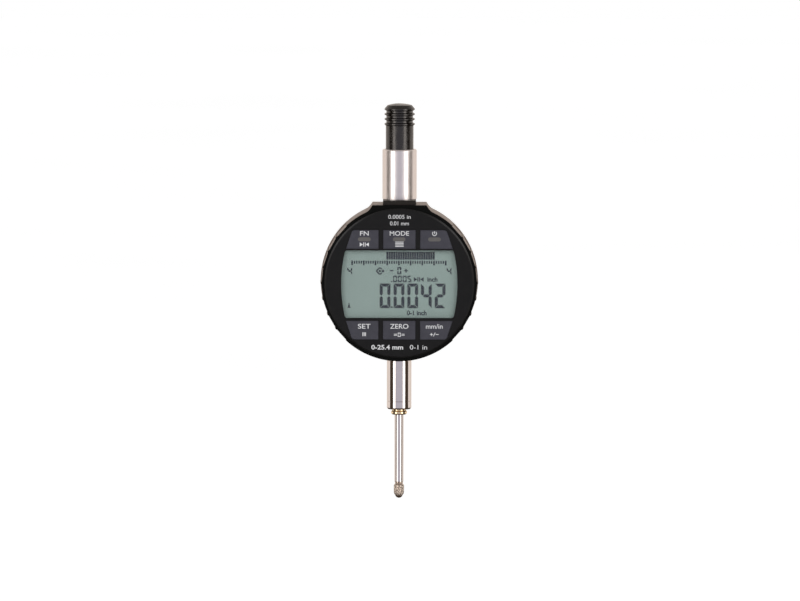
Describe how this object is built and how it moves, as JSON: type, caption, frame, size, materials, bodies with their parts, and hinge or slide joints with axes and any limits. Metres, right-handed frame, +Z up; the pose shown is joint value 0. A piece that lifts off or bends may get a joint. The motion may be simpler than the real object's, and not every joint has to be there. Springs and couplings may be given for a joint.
{
  "type": "dial indicator",
  "caption": "Digital plunger indicator with a round housing, a turning display with keys, a plain mounting stem, a rear lug and a sprung spindle with a lifting cap.",
  "frame": {"origin": "on the spindle axis, in the mounting stem, 10.5 mm above its lower end", "axes": "+Z up the spindle towards the lifting cap, -Y out of the display, +X to the right as seen from the front"},
  "size_m": [0.0606, 0.0371, 0.1527],
  "materials": {
    "housing_metal": "satin metallic",
    "cover_metal": "satin metallic",
    "black_plastic": "fine matte",
    "cap_plastic": "satin",
    "key_plastic": "satin",
    "slip_plastic": "plain",
    "steel": "polished",
    "spring_steel": "plain",
    "carbide": "polished",
    "bronze": "satin",
    "gold_plate": "polished",
    "rubber": "matte",
    "circuit_board": "lacquered",
    "clear_window": "clear",
    "lcd_glass": "smooth",
    "light_print": "printed marks on the keys and display",
    "dark_print": "digits and bars of the liquid crystal"
  },
  "bodies": {
    "housing": {"housing": "housing_metal", "front_shell": "black_plastic", "stem": "steel", "lower_bush": "bronze", "stop_bumper": "rubber", "upper_tube": "steel", "tube_collar": "black_plastic", "upper_bush": "bronze", "friction_ring": "slip_plastic", "stop_pin": "steel", "contact_carrier": "slip_plastic", "contact_pins": "gold_plate", "snap_ring": "spring_steel", "guide_rail": "steel", "return_spring": "spring_steel", "scale_board": "circuit_board", "main_board": "circuit_board", "board_screws": "spring_steel", "data_socket": "black_plastic", "battery_holder": "black_plastic", "battery": "steel", "battery_contact": "gold_plate", "back_cover": "cover_metal", "back_screws": "spring_steel", "cover_gasket": "rubber"},
    "display_unit": {"display_bezel": "black_plastic", "display_window": "clear_window", "lcd_panel": "lcd_glass", "lcd_frame": "slip_plastic", "zebra_strips": "rubber", "display_board": "circuit_board", "display_chip": "black_plastic", "dome_switches": "spring_steel", "contact_tracks": "gold_plate", "display_back": "black_plastic", "display_screws": "spring_steel"},
    "key_tolerance": {"key_tolerance": "key_plastic"},
    "key_max_min": {"key_max_min": "key_plastic"},
    "key_power": {"key_power": "key_plastic"},
    "key_preset": {"key_preset": "key_plastic"},
    "key_data": {"key_data": "key_plastic"},
    "key_reset": {"key_reset": "key_plastic"},
    "spindle": {"spindle": "steel", "contact_point": "steel", "contact_ball": "carbide", "lift_cap": "cap_plastic", "carriage": "slip_plastic", "clamp_screw": "spring_steel", "guide_pin": "steel", "coupler_plate": "circuit_board"},
    "battery_lid": {"battery_lid": "black_plastic", "lid_seal": "rubber"},
    "port_plug": {"port_plug": "rubber"}
  },
  "joints": [
    {"name": "spindle_slide", "type": "slide", "parent": "housing", "child": "spindle", "axis": [0, 0, 1], "range_m": [0, 0.0254], "stiffness_N_per_m": 20, "springref_m": -0.0325, "deforming": ["return_spring"]},
    {"name": "display_turn", "type": "hinge", "parent": "housing", "child": "display_unit", "pos_m": [0, -0.009, 0.039], "axis": [0, -1, 0], "range_deg": [-140, 140]},
    {"name": "press_tolerance", "type": "slide", "parent": "display_unit", "child": "key_tolerance", "axis": [0, 1, 0], "range_m": [0, 0.0003], "stiffness_N_per_m": 800, "springref_m": -0.0005},
    {"name": "press_max_min", "type": "slide", "parent": "display_unit", "child": "key_max_min", "axis": [0, 1, 0], "range_m": [0, 0.0003], "stiffness_N_per_m": 800, "springref_m": -0.0005},
    {"name": "press_power", "type": "slide", "parent": "display_unit", "child": "key_power", "axis": [0, 1, 0], "range_m": [0, 0.0003], "stiffness_N_per_m": 800, "springref_m": -0.0005},
    {"name": "press_preset", "type": "slide", "parent": "display_unit", "child": "key_preset", "axis": [0, 1, 0], "range_m": [0, 0.0003], "stiffness_N_per_m": 800, "springref_m": -0.0005},
    {"name": "press_data", "type": "slide", "parent": "display_unit", "child": "key_data", "axis": [0, 1, 0], "range_m": [0, 0.0003], "stiffness_N_per_m": 800, "springref_m": -0.0005},
    {"name": "press_reset", "type": "slide", "parent": "display_unit", "child": "key_reset", "axis": [0, 1, 0], "range_m": [0, 0.0003], "stiffness_N_per_m": 800, "springref_m": -0.0005},
    {"name": "battery_lid_turn", "type": "hinge", "parent": "housing", "child": "battery_lid", "pos_m": [-0.0154, 0.0091, 0.039], "axis": [0, 1, 0], "range_deg": [0, 45]},
    {"name": "port_plug_pull", "type": "slide", "parent": "housing", "child": "port_plug", "axis": [0, 1, 0], "range_m": [0, 0.008]}
  ]
}
